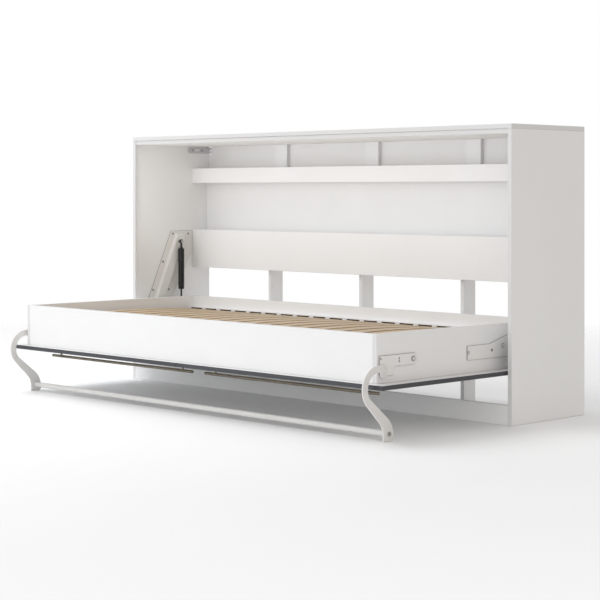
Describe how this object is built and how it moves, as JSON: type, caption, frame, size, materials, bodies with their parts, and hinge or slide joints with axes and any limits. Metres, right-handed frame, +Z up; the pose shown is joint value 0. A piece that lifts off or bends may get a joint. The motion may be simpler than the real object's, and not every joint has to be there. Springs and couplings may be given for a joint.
{
  "type": "wall bed",
  "caption": "Horizontal fold-down wall bed: a slatted bed box with a door front that turns down out of a low cabinet onto a swinging leg frame.",
  "frame": {"origin": "on the floor, at the middle of the footprint of the open bed and its cabinet", "axes": "+X along the cabinet to the right as seen from the front, +Y towards the wall, +Z up"},
  "size_m": [2.19, 1.1706, 1.105],
  "materials": {
    "white_board": "satin white melamine on chipboard",
    "door_board": "satin white melamine with dark grey edge bands",
    "hardboard": "white lacquered hardboard",
    "slat_beech": "clear beech plywood",
    "dowel_beech": "plain",
    "cap_plastic": "fine grain",
    "bush_plastic": "plain",
    "painted_steel": "off-white powder coat",
    "zinc_steel": "zinc plated",
    "screw_steel": "zinc plated",
    "pin_steel": "turned",
    "handle_steel": "brushed along its length",
    "cylinder_black": "semi-gloss black",
    "rod_black": "black nitrided, polished"
  },
  "bodies": {
    "cabinet": {"back_panel": "white_board", "cabinet_dowels": "dowel_beech", "cabinet_screws": "screw_steel", "ceiling_board": "white_board", "centre_back_batten": "white_board", "centre_support_rib": "white_board", "front_plinth": "white_board", "left_back_batten": "white_board", "left_mechanism_plate": "painted_steel", "left_side_panel": "white_board", "left_support_rib": "white_board", "left_wall_bracket": "zinc_steel", "pivot_bushes": "bush_plastic", "right_back_batten": "white_board", "right_mechanism_plate": "painted_steel", "right_side_panel": "white_board", "right_support_rib": "white_board", "right_wall_bracket": "zinc_steel", "spring_top_studs": "pin_steel", "top_back_sheet": "hardboard", "top_panel": "white_board", "upper_rail": "white_board", "wide_rail": "white_board"},
    "bed": {"front_board": "white_board", "rear_board": "white_board", "left_side_board": "white_board", "right_side_board": "white_board", "left_door_panel": "door_board", "right_door_panel": "door_board", "front_slat_ledge": "white_board", "rear_slat_ledge": "white_board", "seam_batten": "white_board", "slat_set_1": "slat_beech", "slat_set_2": "slat_beech", "slat_set_3": "slat_beech", "slat_set_4": "slat_beech", "slat_end_caps": "cap_plastic", "left_pivot_plate": "painted_steel", "right_pivot_plate": "painted_steel", "pivot_plate_screws": "screw_steel", "spring_foot_studs": "pin_steel", "pivot_pins": "pin_steel", "leg_pivot_pins": "pin_steel", "left_handle_bar": "handle_steel", "right_handle_bar": "handle_steel", "handle_posts": "handle_steel", "bed_dowels": "dowel_beech"},
    "leg_frame": {"left_leg": "painted_steel", "right_leg": "painted_steel", "left_leg_arm": "painted_steel", "right_leg_arm": "painted_steel", "cross_tube": "painted_steel", "tube_end_plugs": "bush_plastic", "leg_bolts": "screw_steel"},
    "left_cylinder": {"left_gas_cylinder": "cylinder_black"},
    "right_cylinder": {"right_gas_cylinder": "cylinder_black"},
    "left_rod": {"left_spring_rod": "rod_black", "left_rod_end_fitting": "cylinder_black"},
    "right_rod": {"right_spring_rod": "rod_black", "right_rod_end_fitting": "cylinder_black"}
  },
  "joints": [
    {"name": "bed_fold", "type": "hinge", "parent": "cabinet", "child": "bed", "pos_m": [0, 0.23925, 0.288], "axis": [-1, 0, 0], "range_deg": [0, 90]},
    {"name": "leg_fold", "type": "hinge", "parent": "bed", "child": "leg_frame", "pos_m": [0, -0.32275, 0.275], "axis": [-1, 0, 0], "range_deg": [0, 175.5]},
    {"name": "left_spring_swing", "type": "hinge", "parent": "cabinet", "child": "left_cylinder", "pos_m": [-1.044, 0.38225, 0.623], "axis": [-1, 0, 0], "range_deg": [0, 19.95]},
    {"name": "left_rod_slide", "type": "slide", "parent": "left_cylinder", "child": "left_rod", "axis": [0, 0, -1], "range_m": [0, 0.1436]},
    {"name": "right_spring_swing", "type": "hinge", "parent": "cabinet", "child": "right_cylinder", "pos_m": [1.044, 0.38225, 0.623], "axis": [-1, 0, 0], "range_deg": [0, 19.95]},
    {"name": "right_rod_slide", "type": "slide", "parent": "right_cylinder", "child": "right_rod", "axis": [0, 0, -1], "range_m": [0, 0.1436]}
  ],
  "couplings": [
    {"joint": "leg_fold", "follows": "bed_fold", "ratio": 1.95},
    {"joint": "left_spring_swing", "follows": "bed_fold", "ratio": 0.22107},
    {"joint": "left_rod_slide", "follows": "bed_fold", "m_per_rad": 0.091255},
    {"joint": "right_spring_swing", "follows": "bed_fold", "ratio": 0.22107},
    {"joint": "right_rod_slide", "follows": "bed_fold", "m_per_rad": 0.091255}
  ]
}
